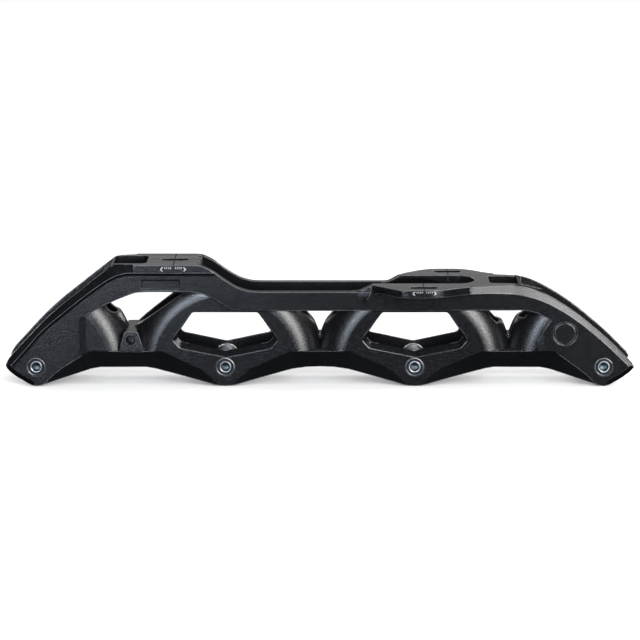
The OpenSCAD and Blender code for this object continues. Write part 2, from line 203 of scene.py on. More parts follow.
def make_tables():
    t = {}
    side = polygon_distance(outline, XU, HV)
    side = blur(side, 1.2)
    valleys = []
    for poly, i in ((rear_valley, 0), (middle_valley, 1), (front_valley, 2)):
        v = blur(polygon_distance(poly, XU, HV), 2.0)
        valleys.append(v)
        hollow = np.maximum(v, np.maximum(40.3 - disc(XU, HV, i), 40.3 - disc(XU, HV, i + 1)))
        side = np.maximum(side, -hollow)
    t["side"] = Table(side, GU[0], GV[0], STEP)
    t["valleys"] = [Table(v, GU[0], GV[0], STEP) for v in valleys]
    # windows, drawn around their own axle
    wu = np.arange(-34, 34, STEP)
    wv = np.arange(0, 38, STEP)
    t["win_in"] = Table(blur(polygon_distance(window_in, wu[:, None], wv[None, :]), 2.6), wu[0], wv[0], STEP)
    t["win_out"] = Table(blur(polygon_distance(window_out, wu[:, None], wv[None, :]), 2.2), wu[0], wv[0], STEP)
    # outer face: how far it stands from the centre plane
    d_rail = blur(polygon_distance(rail, XU, HV), 2.0)
    fade = smoothstep(-136, -131, XU) * (1 - smoothstep(122, 127, XU))
    top = YP + RAIL * (1 - fade * (1 - smoothstep(0.15, -0.45, d_rail)))
    out = top.copy()
    # heel flange: a bevel along the arm that turns upright beside the deck, with a cove under it
    f = -blur(polygon_distance(flange_area, XU, HV), 1.0)
    lean = np.where(XU < -104.6, np.interp(XU, [-118.0, -104.6], [0.80, 0.55]), 0.0)
    here = 1 - smoothstep(-62.5, -56, XU)
    lip = FLANGE - lean * np.maximum(f, 0.0)
    cove = top + here * 0.8 * np.clip(1.0 + f / 1.6, 0.0, 1.0) ** 2
    out = np.where(XU < -40, np.where(f > 0, top + (lip - top) * here, cove), out)
    # toe arm: a broad bevel
    g = -blur(polygon_distance(front_area, XU, HV), 1.0)
    out = np.where(XU > 60, np.minimum(out, top - 0.46 * smoothstep(90, 100, XU) * np.maximum(g, 0.0)), out)
    # ends: the lower corner is taken off
    for line in ([(-177.3, 1.0), (-177, -0.5), (-175, -3), (-170.8, -6.2), (-164, -10.3)], [(177.3, -0.4), (175, -3), (170.8, -6.2), (164, -10.3)]):
        d = line_distance(line, XU, HV)
        out = np.where(d < 3.0, np.minimum(out, YP + RAIL - 0.62 * (3.0 - d)), out)
    # skirts
    for poly in skirts:
        k = -polygon_distance(poly, XU, HV)
        kx0, kx1 = poly[0][0], poly[7][0]
        away = np.minimum(line_distance(poly[0:8], XU, HV), 12.0)
        out = np.where((k > 0) & (XU > kx0) & (XU < kx1), np.minimum(out, YP - 0.24 * away), out)
    # a shallow blank panel on the rail and a plain ring near the toe
    panel = round_box(XU, HV, -100, -78.7, 44.5, 50.0, 0.8)
    out -= 0.42 * smoothstep(0.35, -0.35, panel)
    ring = np.abs(np.sqrt((XU - 137.8) ** 2 + (HV - 19.3) ** 2) - 6.3)
    out -= 0.42 * smoothstep(0.55, 0.15, ring)
    t["out"] = Table(out, GU[0], GV[0], STEP)
    # a short buttress flares out of each rail just behind the ear
    t["rib"] = lambda x, h: 1.35 * np.clip((x - 20.5) / 8.4, 0.0, 1.0) ** 1.6 * smoothstep(36.4, 41.0, h) * (1 - smoothstep(-0.2, 0.2, x - 28.9 + 0.05 * np.maximum(45.5 - h, 0.0) ** 2))
    # plans of the decks
    plan = blur(polygon_distance(toe_plan, XP, YV), 1.6)
    plan = np.maximum(plan, -round_box(XP, YV, 5, 87.2, -12, 12, 10.5))
    plan = np.maximum(plan, -round_box(XP, YV, 95.5, 112.4, -10.6, 10.6, 3))
    plan = np.maximum(plan, -slot_area(XP, YV, 58, -24))
    plan = np.maximum(plan, -slot_area(XP, YV, 73, 24))
    t["toe"] = Table(blur(plan, 1.0), GU[0], GW[0], STEP)
    plan = np.maximum(np.abs(YV) - FLANGE, np.maximum(-124 - XP, XP + 66.9))
    plan = np.maximum(plan, -round_box(XP, YV, -116.8, -97.2, -12.4, 12.4, 4.2))
    plan = np.maximum(plan, -slot_area(XP, YV, -82, 0))
    for s in (-1, 1):
        plan = np.maximum(plan, -(np.sqrt((XP + 67.4) ** 2 + (YV - s * 9.6) ** 2) - 1.9))
    t["heel"] = Table(blur(plan, 1.0), GU[0], GW[0], STEP)
    brake = [(-P - 6.9, 8.0), (-P - 3.6, 19.4), (-P - 2.8, 20.3), (-P + 3.6, 20.3), (-P + 4.4, 19.4), (-P + 7.8, 8.0)]
    bu, bv = np.arange(-P - 12, -P + 12, STEP), np.arange(4, 26, STEP)
    t["brake"] = Table(blur(polygon_distance(brake, bu[:, None], bv[None, :]), 0.8), bu[0], bv[0], STEP)
    return t


T = make_tables()


def wheel_box(r, a, nose, radius):
    """Distance to a disc with a round rim, in radius and half width."""
    q, p = r - 40.0, a - nose
    return np.sqrt(np.maximum(q, 0) ** 2 + np.maximum(p, 0) ** 2) + np.minimum(np.maximum(q, p), 0) - radius


def casting(x, y, h):
    """Distance to the casting, negative inside. The three arrays may be of shapes that broadcast."""
    a = np.abs(y)
    # side walls
    side = T["side"](x, h)
    flare = np.clip((a - 13.9) / 2.7, 0.0, 1.0)
    for i in (1, 2):
        w_in, w_out = T["win_in"](x - AX[i], h), T["win_out"](x - AX[i], h)
        near = (np.abs(x - AX[i]) < 33.5) & (h > 0.5) & (h < 37)
        side = np.where(near, np.maximum(side, -(w_in + (w_out - w_in) * flare)), side)
    rib = T["rib"](np.where(y < 0, x, x - 16.3), h)
    face = a - T["out"](x, h) - rib
    d = rmax(rmax(side, face, 0.38), YI - a, 0.35)
    # guards round the wheels
    rr = [disc(x, h, i) for i in range(4)]
    spaces = [wheel_box(r, a, 1.0, 12.4) for r in rr]
    for gap in range(3):
        v = T["valleys"][gap](x, h)
        for i, s in ((gap, 1), (gap + 1, -1)):
            dx = (x - AX[i]) * s
            if gap == 0:
                rim = (h - 29.4 - 0.125 * np.maximum(45.0 - dx, 0.0) ** 2) * 0.9 if i == 0 else (h - 23.9 - 0.744 * (48.2 - dx)) * 0.80
            elif gap == 1:
                rim = (h - 24.6 - 0.85 * (49.3 - dx)) * 0.76
            elif i == 2:
                rim = np.minimum(np.minimum((h - 21.0 - (49.3 - dx)) * 0.71, (h - 26.9 - 1.6 * (43.4 - dx)) * 0.53), h - 23.9)
            else:
                rim = np.minimum((h - 25.6 - 0.25 * (49.3 - dx)) * 0.97, (h - 26.2 - 1.05 * (45.2 - dx)) * 0.69)
            cover = wheel_box(rr[i], a, 1.1, 15.5)
            well = wheel_box(rr[i], a, -0.6, 14.0)
            g = np.maximum(np.maximum(v - 1.4, 9.0 - h), np.maximum(38.8 - rr[i], -dx))
            wall = rmax(np.maximum(rmax(cover, -well, 0.3), g), rim, 0.4)
            d = np.minimum(d, wall)
        if gap > 0:
            # a thin web where the two guards meet
            u = np.abs(x - (AX[gap] + AX[gap + 1]) / 2)
            web = rmax(rmax(u - 1.5, h - 17.0, 0.5), a - 4.6, 0.5)
            d = smin(d, np.maximum(web, 7.0 - h), 0.8)
        # floor between the guards
        floor = np.maximum(np.abs(h - 7.8) - 1.4, np.maximum(a - 14.5, np.abs(x - (AX[gap] + AX[gap + 1]) / 2) - 9.5))
        d = smin(d, floor, 0.8)
    # heel deck
    deck = np.maximum(T["heel"](x, y), 53.6 - h)
    block = np.maximum(np.maximum(np.abs(x + 83.5) - 14.6, 51.0 - h), np.maximum(a - 14.5, T["heel"](x, y)))
    deck = np.minimum(deck, block)
    deck = rmax(np.maximum(deck, T["side"](x, np.maximum(h, 51.5))), h - HEEL, 0.3)
    deck = rmax(deck, face, 0.35)
    d = np.minimum(d, deck)
    # cross ties inside the arms
    for poly in TIES:
        tie = np.maximum(polygon_tie(x, h, poly), a - 13.9)
        d = smin(d, tie, 1.0)
    # toe deck with its ramps and ears
    start = np.where(y < 0, 20.4, 37.0)
    ramp = 43.4 + (TOE - 43.4) * smoothstep(0.0, 1.0, (x - start) / 10.4)
    rear = np.where(y < 0, 31.0, 47.2)
    strip = np.maximum(np.maximum(12.0 - a, a - (YP + RAIL + 2)), np.maximum(start - 2 - x, x - 60))
    bevel_h = np.interp(x, [84, 95, 101, 107, 113], [42.65, 42.6, 42.3, 41.8, 41.2])
    under = 42.7 - np.clip((19.5 - a) * 0.55, 0.0, 1.4)
    under = under + (bevel_h - under) * smoothstep(80, 85, x)
    top = h - np.where(x < 100, TOE, np.interp(x, [100, 107, 113.5], [TOE, 47.0, 46.5]))
    lean = np.where(x > np.where(y < 0, 84.2, 99.2), 0.46 * np.maximum(h - bevel_h, 0.0), 0.0) * smoothstep(12.6, 13.6, a)
    plate = np.maximum(rmax(rmax(T["toe"](x, y) + lean, top, 0.3), under - h, 0.4), x - 113.0)
    tongue = rmax(rmax(np.maximum(strip, 40.0 - h), face, 0.35), (h - ramp) * 0.94, 0.35)
    d = smin(d, plate, 0.02 + 0.9 * smoothstep(17.3, 18.6, a))
    d = np.minimum(d, tongue)
    tie = np.maximum(np.maximum(np.abs(x - 91.3) - 4.2 + (h - 46) * -0.12, 38.5 - h), np.maximum(a - 14.5, h - 46))
    d = np.minimum(d, tie)
    # brake bar
    bar = rmax(T["brake"](x, h), a - 16.6, 0.3)
    bar = np.where(np.abs(x + P) < 11.5, bar, 5.0)
    for i in (0, 1):
        bar = np.maximum(bar, -wheel_box(rr[i], a, 1.1, 15.0))
    d = np.minimum(d, bar)
    # room for the wheels, then the bosses that space their bearings
    for s in spaces:
        d = np.maximum(d, -s)
    for i in range(4):
        d = np.minimum(d, rmax(rr[i] - 7.25, np.maximum(12.2 - a, a - 15.0), 0.35))
        right = np.minimum(np.maximum(rr[i] - 4.25, y - 1), np.maximum(rr[i] - 5.28, y + 14.1))
        left = np.maximum(rr[i] - 5.45, 1 - y)
        d = np.maximum(d, -np.minimum(right, left))
    hole = np.maximum(np.sqrt((x + P) ** 2 + (h - 15.4) ** 2) - 2.97, 10.75 - a)
    return np.maximum(d, -hole)


TIES = (
    [(-116.2, 57.6), (-117.2, 56.8), (-117.9, 55.6), (-119.4, 45.6), (-116.2, 48.0)],
    [(-115.9, 50.6), (-128.6, 43.4), (-126, 41.5), (-121, 44.5), (-115.9, 48.2)],
    [(111.6, 46.7), (112.9, 46.4), (113.5, 45.6), (115.0, 38.6), (111.6, 39.6)],
    [(111.6, 41.6), (118, 40.4), (125, 38.6), (124, 37.9), (118, 38.2), (111.6, 39.6)])


def polygon_tie(x, h, poly):
    """Distance to a convex outline, from its edges."""
    d = None
    cx, ch = np.mean(poly, 0)
    for (ax, ay), (bx, by) in zip(poly, poly[1:] + poly[:1]):
        nx, ny = by - ay, ax - bx
        n = math.hypot(nx, ny)
        nx, ny = nx / n, ny / n
        if (cx - ax) * nx + (ch - ay) * ny > 0:
            nx, ny = -nx, -ny
        e = (x - ax) * nx + (h - ay) * ny
        d = e if d is None else np.maximum(d, e)
    return d


def gradient(p, eps=0.03):
    g = np.empty_like(p)
    for k in range(3):
        q = p.copy()
        q[:, k] += eps
        r = p.copy()
        r[:, k] -= eps
        g[:, k] = casting(*q.T) - casting(*r.T)
    n = np.linalg.norm(g, axis=1, keepdims=True)
    return g / np.maximum(n, 1e-12)


def contour(gx, gy, gz):
    """A mesh of quads on the casting's surface, with its edges kept sharp (dual contouring)."""
    nx, ny, nz = len(gx), len(gy), len(gz)
    F = np.empty((nx, ny, nz), np.float32)
    for i in range(0, nx, 48):
        s = slice(i, min(i + 48, nx))
        F[s] = casting(gx[s, None, None], gy[None, :, None], gz[None, None, :])
    inside = F < 0
    points, normals, cells, quads = [], [], [], []
    grid = (gx, gy, gz)
    cid = lambda i, j, k: (i * ny + j) * nz + k
    for axis in range(3):
        lo = [slice(None)] * 3
        hi = [slice(None)] * 3
        lo[axis], hi[axis] = slice(None, -1), slice(1, None)
        i, j, k = np.nonzero(inside[tuple(lo)] != inside[tuple(hi)])
        ends = [np.array([i, j, k]), np.array([i, j, k])]
        ends[1][axis] += 1
        f0, f1 = F[tuple(ends[0])].astype(float), F[tuple(ends[1])].astype(float)
        base = np.stack([grid[m][ends[0][m]] for m in range(3)], 1).astype(float)
        span = grid[axis][ends[1][axis]] - grid[axis][ends[0][axis]]
        t0, t1 = np.zeros(len(i)), np.ones(len(i))
        for _ in range(3):
            t = t0 + (t1 - t0) * np.clip(f0 / (f0 - f1), 0.1, 0.9)
            p = base.copy()
            p[:, axis] += t * span
            ft = casting(*p.T)
            low = (ft < 0) == (f0 < 0)
            t0, f0 = np.where(low, t, t0), np.where(low, ft, f0)
            t1, f1 = np.where(low, t1, t), np.where(low, f1, ft)
        t = t0 + (t1 - t0) * np.clip(f0 / (f0 - f1), 0.0, 1.0)
        p = base.copy()
        p[:, axis] += t * span
        points.append(p)
        normals.append(gradient(p))
        b, c = (axis + 1) % 3, (axis + 2) % 3
        around = []
        for db, dc in ((-1, -1), (0, -1), (0, 0), (-1, 0)):
            e = [v.copy() for v in ends[0]]
            e[b] = e[b] + db
            e[c] = e[c] + dc
            around.append(cid(*e))
        around = np.stack(around, 1)
        cells.append(around)
        flip = ~inside[tuple(ends[0])]
        quads.append(np.where(flip[:, None], around[:, ::-1], around))
    points, normals, cells, quads = map(np.concatenate, (points, normals, cells, quads))
    ids, where = np.unique(cells.ravel(), return_inverse=True)
    where = where.reshape(-1)
    m = len(ids)
    rep = np.repeat(np.arange(len(points)), 4)
    count = np.bincount(where, minlength=m).astype(float)
    mass = np.stack([np.bincount(where, points[rep, k], m) for k in range(3)], 1) / count[:, None]
    n4 = normals[rep]
    off = np.einsum("ij,ij->i", n4, points[rep] - mass[where])
    A = np.empty((m, 3, 3))
    B = np.empty((m, 3, 1))
    for r in range(3):
        B[:, r, 0] = np.bincount(where, n4[:, r] * off, m)
        for c in range(r, 3):
            A[:, r, c] = A[:, c, r] = np.bincount(where, n4[:, r] * n4[:, c], m)
    A += np.eye(3)[None] * (0.04 * count)[:, None, None]
    v = mass + np.linalg.solve(A, B)[:, :, 0]
    ci, cj, ck = ids // (ny * nz), (ids // nz) % ny, ids % nz
    for axis, (g, c) in enumerate(((gx, ci), (gy, cj), (gz, ck))):
        a, b = g[c], g[c + 1]
        slack = 0.1 * (b - a)
        v[:, axis] = np.clip(v[:, axis], a - slack, b + slack)
    quads = np.searchsorted(ids, quads)
    # split each quad along the diagonal that lies closer to the surface
    q = v[quads]
    d0 = np.abs(casting(*((q[:, 0] + q[:, 2]) / 2).T))
    d1 = np.abs(casting(*((q[:, 1] + q[:, 3]) / 2).T))
    first = d0 <= d1
    tris = np.empty((len(quads) * 2, 3), np.int64)
    tris[0::2] = np.where(first[:, None], quads[:, [0, 1, 2]], quads[:, [0, 1, 3]])
    tris[1::2] = np.where(first[:, None], quads[:, [0, 2, 3]], quads[:, [1, 2, 3]])
    return v, tris


def mesh_of(name, verts, faces):
    """A mesh from arrays of points in mm, lifted to the frame and scaled to metres."""
    me = bpy.data.meshes.new(name)
    co = np.asarray(verts, float).copy()
    co[:, 2] += AXLE_H
    faces = np.asarray(faces)
    n = faces.shape[1]
    me.vertices.add(len(co))
    me.vertices.foreach_set("co", (co / 1000.0).astype(np.float32).ravel())
    me.loops.add(faces.size)
    me.loops.foreach_set("vertex_index", faces.astype(np.int32).ravel())
    me.polygons.add(len(faces))
    me.polygons.foreach_set("loop_start", np.arange(0, faces.size, n, dtype=np.int32))
    me.polygons.foreach_set("loop_total", np.full(len(faces), n, np.int32))
    me.update(calc_edges=True)
    me.validate()
    return me


def points_of(me):
    co = np.empty(len(me.vertices) * 3, np.float32)
    me.vertices.foreach_get("co", co)
    co = co.reshape(-1, 3).astype(float) * 1000.0
    co[:, 2] -= AXLE_H
    return co


def add(name, me):
    ob = bpy.data.objects.new(name, me)
    bpy.context.scene.collection.objects.link(ob)
    return ob


hx, hy, hz = ((0.55, 0.42, 0.5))
fine = np.arange(0.21, 18.6, hy)
wide = np.arange(fine[-1] + 0.7, 34.5, 0.7)
half = np.concatenate([fine, wide])
gy = np.concatenate([-half[::-1], half])
gx = np.arange(-178.61, 178.9, hx)
gz = np.arange(-11.63, 60.2, hz)
verts, tris = contour(gx, gy, gz)
raw = mesh_of("casting_raw", verts, tris)
body = add("casting", raw)
thin = body.modifiers.new("thin", "DECIMATE")
thin.ratio = min(1.0, (190000) / len(tris))
me = bpy.data.meshes.new_from_object(body.evaluated_get(bpy.context.evaluated_depsgraph_get()))
body.modifiers.clear()
body.data = me
bpy.data.meshes.remove(raw)
me.name = "casting"
co = points_of(me)
tri = np.empty(len(me.polygons) * 3, np.int32)
me.polygons.foreach_get("vertices", tri)
tri = tri.reshape(-1, 3)
corner = co[tri]
centre = corner.mean(1)
at = (corner * 0.62 + centre[:, None, :] * 0.38).reshape(-1, 3)
normal = gradient(at)
flat = np.cross(corner[:, 1] - corner[:, 0], corner[:, 2] - corner[:, 0])
flat /= np.maximum(np.linalg.norm(flat, axis=1, keepdims=True), 1e-12)
flat3 = np.repeat(flat, 3, 0)
bad = np.einsum("ij,ij->i", normal, flat3) < 0.3
normal[bad] = flat3[bad]
me.polygons.foreach_set("use_smooth", np.ones(len(me.polygons), bool))
me.normals_split_custom_set([tuple(v) for v in normal])


# ---------------------------------------------------------------- surface data the materials read
ref = np.where(np.abs(normal[:, 2:3]) < 0.8, np.array([[0.0, 0.0, 1.0]]), np.array([[1.0, 0.0, 0.0]]))
ta = np.cross(normal, ref)
ta /= np.maximum(np.linalg.norm(ta, axis=1, keepdims=True), 1e-9)
tb = np.cross(normal, ta)
# edge: how sharply the surface bends outwards. The coat is lightened on these convex edges, partly as rubbed coat and
# partly as a painted highlight along them; the lines below take it away in the valley bottoms and at two places on the
# arms
bend = sum(casting(*(at + k * 0.6 * t).T) for t in (ta, tb) for k in (-1, 1)) - 4 * casting(*at.T)
edge = np.clip(bend / 0.6, 0.0, 1.0)
in_valley = np.minimum.reduce([v(at[:, 0], at[:, 2]) for v in T["valleys"]])
edge *= 1 - smoothstep(3.0, 1.5, in_valley) * (at[:, 2] < 13.0)
edge *= 1 - (np.abs(at[:, 0] + 104.6) < 0.9) * (at[:, 2] > 54.6) * (at[:, 2] < 58.2)
edge *= 1 - 0.8 * (np.abs(at[:, 0] - 117.5) < 6.5) * (np.abs(at[:, 1]) < 16.2) * (at[:, 2] > 38.0)
me.attributes.new("edge", "FLOAT", "CORNER").data.foreach_set("value", edge.astype(np.float32))
aa = np.abs(co[:, 1])
wall = np.maximum(T["side"](co[:, 0], co[:, 2]), aa - T["out"](co[:, 0], co[:, 2]))
on_guard = np.clip(0.5 + 2.0 * (wall - 0.35), 0.0, 1.0) * (co[:, 2] < 40.5)
me.attributes.new("guard", "FLOAT", "POINT").data.foreach_set("value", on_guard.astype(np.float32))


class Nodes:
    """A small helper that adds and links shader nodes."""

    def __init__(self, name):
        self.mat = bpy.data.materials.new(name)
        self.mat.use_nodes = True
        self.tree = self.mat.node_tree
        self.bsdf = self.tree.nodes["Principled BSDF"]

    def add(self, kind, inputs=None, **props):
        n = self.tree.nodes.new(kind)
        for k, v in props.items():
            setattr(n, k, v)
        for k, v in (inputs or {}).items():
            self.set(n, k, v)
        return n

    def set(self, n, key, v):
        if isinstance(v, bpy.types.NodeSocket):
            self.tree.links.new(v, n.inputs[key])
        else:
            n.inputs[key].default_value = v

    def math(self, op, a, b=0.0, clamp=False):
        return self.add("ShaderNodeMath", {0: a, 1: b}, operation=op, use_clamp=clamp).outputs[0]

    def ramp(self, v, lo, hi, a=0.0, b=1.0, smooth=True):
        n = self.add("ShaderNodeMapRange", {"Value": v, "From Min": lo, "From Max": hi, "To Min": a, "To Max": b})
        n.interpolation_type = "SMOOTHSTEP" if smooth else "LINEAR"
        return n.outputs[0]

    def mix(self, f, a, b):
        n = self.add("ShaderNodeMix", data_type="RGBA")
        self.set(n, 0, f)
        self.set(n, 6, a)
        self.set(n, 7, b)
        return n.outputs[2]

    def blend(self, f, a, b):
        n = self.add("ShaderNodeMix", data_type="FLOAT")
        self.set(n, 0, f)
        self.set(n, 2, a)
        self.set(n, 3, b)
        return n.outputs[0]

    def noise(self, where, scale, detail=2.0, rough=0.5):
        return self.add("ShaderNodeTexNoise", {"Vector": where, "Scale": scale, "Detail": detail, "Roughness": rough}).outputs["Fac"]


def casting_material():
    m = Nodes("black_coat")
    pos = m.add("ShaderNodeTexCoord").outputs["Object"]
    sep = m.add("ShaderNodeSeparateXYZ", {0: pos})
    px, py, pz = sep.outputs
    nz = m.add("ShaderNodeSeparateXYZ", {0: m.add("ShaderNodeNewGeometry").outputs["True Normal"]}).outputs[2]
    guard = m.add("ShaderNodeAttribute", attribute_name="guard").outputs["Fac"]
    worn_edge_and_highlight = m.add("ShaderNodeAttribute", attribute_name="edge").outputs["Fac"]
    # machined faces: the tops of the two decks
    level = m.math("MAXIMUM", m.math("GREATER_THAN", pz, (HEEL + AXLE_H - 0.3) / 1000),
                   m.math("MULTIPLY", m.math("GREATER_THAN", px, 0.0), m.math("GREATER_THAN", pz, (TOE + AXLE_H - 0.3) / 1000)))
    cut = m.math("MULTIPLY", level, m.ramp(nz, 0.85, 0.98))
    # grain of the coat
    g1 = m.noise(pos, 1650.0, 1.0, 0.5)
    g2 = m.noise(pos, 1250.0, 2.0, 0.55)
    g3 = m.noise(pos, 45.0, 3.0, 0.5)
    fine = m.noise(m.add("ShaderNodeVectorMath", {0: pos, 1: (25.0, 2600.0, 60.0)}, operation="MULTIPLY").outputs[0], 1.0, 2.0, 0.6)
    streak = m.noise(m.add("ShaderNodeVectorMath", {0: pos, 1: (6.0, 420.0, 60.0)}, operation="MULTIPLY").outputs[0], 1.0, 2.0, 0.6)
    # spacer rings round the axles are bare
    ux = m.math("SUBTRACT", m.add("ShaderNodeMath", {0: px, 1: P / 1000.0, 2: 0.0}, operation="WRAP").outputs[0], P / 2000.0)
    uz = m.math("SUBTRACT", pz, AXLE_H / 1000.0)
    rad = m.math("SQRT", m.math("ADD", m.math("MULTIPLY", ux, ux), m.math("MULTIPLY", uz, uz)))
    ay = m.math("ABSOLUTE", py)
    bare = m.math("MULTIPLY", m.ramp(rad, 0.00745, 0.00735), m.math("MULTIPLY", m.ramp(ay, 0.0119, 0.0120), m.ramp(ay, 0.01335, 0.0132)))

    def line(v, at, half=0.00030):
        return m.ramp(m.math("ABSOLUTE", m.math("SUBTRACT", v, at)), half + 0.00012, half - 0.00006)

    heel_lines = m.math("MAXIMUM", m.math("MULTIPLY", line(py, 0.0), m.math("MULTIPLY", m.math("GREATER_THAN", px, -0.0975), cut)), line(px, -0.082))
    heel_lines = m.math("MULTIPLY", heel_lines, m.math("GREATER_THAN", pz, (54.3 + AXLE_H) / 1000))
    toe_lines = m.math("MAXIMUM", m.math("MULTIPLY", line(px, 0.058), m.math("LESS_THAN", py, -0.012)), m.math("MULTIPLY", line(px, 0.073), m.math("GREATER_THAN", py, 0.012)))
    toe_lines = m.math("MULTIPLY", toe_lines, m.math("GREATER_THAN", pz, (43.6 + AXLE_H) / 1000))
    index = m.math("MAXIMUM", heel_lines, toe_lines)
    smooth = m.math("MAXIMUM", cut, bare)
    grain = m.math("SUBTRACT", 1.0, smooth)
    height = m.math("ADD", m.math("MULTIPLY", g1, 0.6), m.math("MULTIPLY", g2, 0.6))
    bump = m.add("ShaderNodeBump", {"Height": height, "Distance": 0.00018, "Strength": m.blend(grain, 0.05, 0.5)})
    bump2 = m.add("ShaderNodeBump", {"Height": fine, "Distance": 0.00001, "Strength": m.math("MULTIPLY", cut, 0.6), "Normal": bump.outputs[0]})
    m.set(m.bsdf, "Normal", bump2.outputs[0])
    tone = m.mix(m.ramp(g3, 0.3, 0.7), (0.0034, 0.0037, 0.0044, 1), (0.0050, 0.0054, 0.0064, 1))
    # painted shade: the lighter fleck is weakened on the inner faces and on faces that turn downwards, so these read
    # darker
    outer = m.math("MULTIPLY", m.ramp(ay, 0.0136, 0.0150, 0.35, 1.0), m.ramp(nz, -0.20, -0.10, 0.25, 1.0))
    tone = m.mix(m.math("MULTIPLY", m.ramp(g1, 0.54, 0.72), m.math("MULTIPLY", grain, outer)), tone, (0.0225, 0.0240, 0.0285, 1))
    tone = m.mix(m.math("MULTIPLY", cut, 0.8), tone, m.mix(m.ramp(streak, 0.35, 0.65), (0.018, 0.018, 0.019, 1), (0.036, 0.036, 0.038, 1)))
    # convex edges lightened towards grey: partly rubbed coat, partly a painted highlight along the edges
    tone = m.mix(m.math("MULTIPLY", m.ramp(worn_edge_and_highlight, 0.4, 0.95), m.ramp(g2, 0.3, 0.7, 0.4, 0.9)), tone, (0.150, 0.153, 0.160, 1))
    tone = m.mix(index, tone, (0.0025, 0.0025, 0.0028, 1))
    tone = m.mix(bare, tone, m.mix(m.ramp(fine, 0.3, 0.7), (0.52, 0.52, 0.51, 1), (0.66, 0.66, 0.65, 1)))
    m.set(m.bsdf, "Base Color", tone)
    m.set(m.bsdf, "Metallic", bare)
    rough = m.blend(m.ramp(g2, 0.3, 0.7), 0.18, 0.24)
    rough = m.blend(m.ramp(nz, 0.78, 0.88), rough, m.ramp(g2, 0.3, 0.7, 0.56, 0.68))
    rough = m.blend(guard, rough, m.ramp(g1, 0.3, 0.7, 0.26, 0.38))
    rough = m.blend(cut, rough, m.ramp(streak, 0.35, 0.65, 0.27, 0.41))
    rough = m.blend(index, rough, 0.95)
    m.set(m.bsdf, "Roughness", rough)
    m.bsdf.inputs["Specular IOR Level"].default_value = 0.9
    return m.mat


mat = casting_material()
me.materials.clear()
me.materials.append(mat)
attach(body, "frame")
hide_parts("right_side_plate", "left_side_plate", "heel_deck", "toe_deck", "heel_end_bridge", "toe_end_bridge",
            "rear_guard_bridge", "middle_guard_bridge", "front_guard_bridge", "brake_bridge")

# ---------------------------------------------------------------- axles
def steel_material(name, colour, rough, fleck, head=False):
    """Plated steel with turning marks round the axis and small stains; on a head the groove and the socket are painted
    dark as painted shade.
    """
    m = Nodes(name)
    pos = m.add("ShaderNodeTexCoord").outputs["Object"]
    sep = m.add("ShaderNodeSeparateXYZ", {0: pos})
    u = m.add("ShaderNodeMath", {0: sep.outputs[0], 1: P / 1000.0, 2: 0.0}, operation="WRAP").outputs[0]
    du = m.math("SUBTRACT", u, P / 2000.0)
    dz = m.math("SUBTRACT", sep.outputs[2], AXLE_H / 1000.0)
    r = m.math("SQRT", m.math("ADD", m.math("MULTIPLY", du, du), m.math("MULTIPLY", dz, dz)))
    turn = m.add("ShaderNodeCombineXYZ", {0: m.math("MULTIPLY", r, 9000.0), 1: m.math("MULTIPLY", sep.outputs[1], 2500.0), 2: 0.0}).outputs[0]
    rings = m.noise(turn, 1.0, 2.0, 0.6)
    stain = m.noise(pos, 700.0, 3.0, 0.6)
    tone = m.mix(m.ramp(stain, 0.35, 0.7), colour, fleck)
    gloss = m.math("ADD", m.ramp(stain, 0.3, 0.7, rough, rough + 0.08), m.ramp(rings, 0.3, 0.7, 0.0, 0.05))
    if head:
        # painted shade: the floor of the head's groove and the inside of the socket are coloured dark and bluish, where
        # shade falls in these recesses
        groove = m.math("MULTIPLY", m.math("LESS_THAN", sep.outputs[1], -0.0150), m.math("MULTIPLY", m.ramp(r, 0.00326, 0.00338), m.ramp(r, 0.00474, 0.00462)))
        socket = m.math("MULTIPLY", m.math("LESS_THAN", sep.outputs[1], -0.0130), m.ramp(r, 0.00262, 0.00246))
        tone = m.mix(groove, tone, m.mix(m.ramp(stain, 0.35, 0.7), (0.052, 0.057, 0.063, 1), (0.032, 0.035, 0.040, 1)))
        tone = m.mix(socket, tone, m.mix(m.ramp(stain, 0.35, 0.7), (0.120, 0.150, 0.165, 1), (0.075, 0.094, 0.105, 1)))
        gloss = m.blend(groove, gloss, m.ramp(stain, 0.3, 0.7, 0.38, 0.5))
    m.bsdf.inputs["Metallic"].default_value = 1.0
    m.set(m.bsdf, "Base Color", tone)
    m.set(m.bsdf, "Roughness", gloss)
    bump = m.add("ShaderNodeBump", {"Height": rings, "Distance": 0.000004, "Strength": 0.2})
    m.set(m.bsdf, "Normal", bump.outputs[0])
    return m.mat


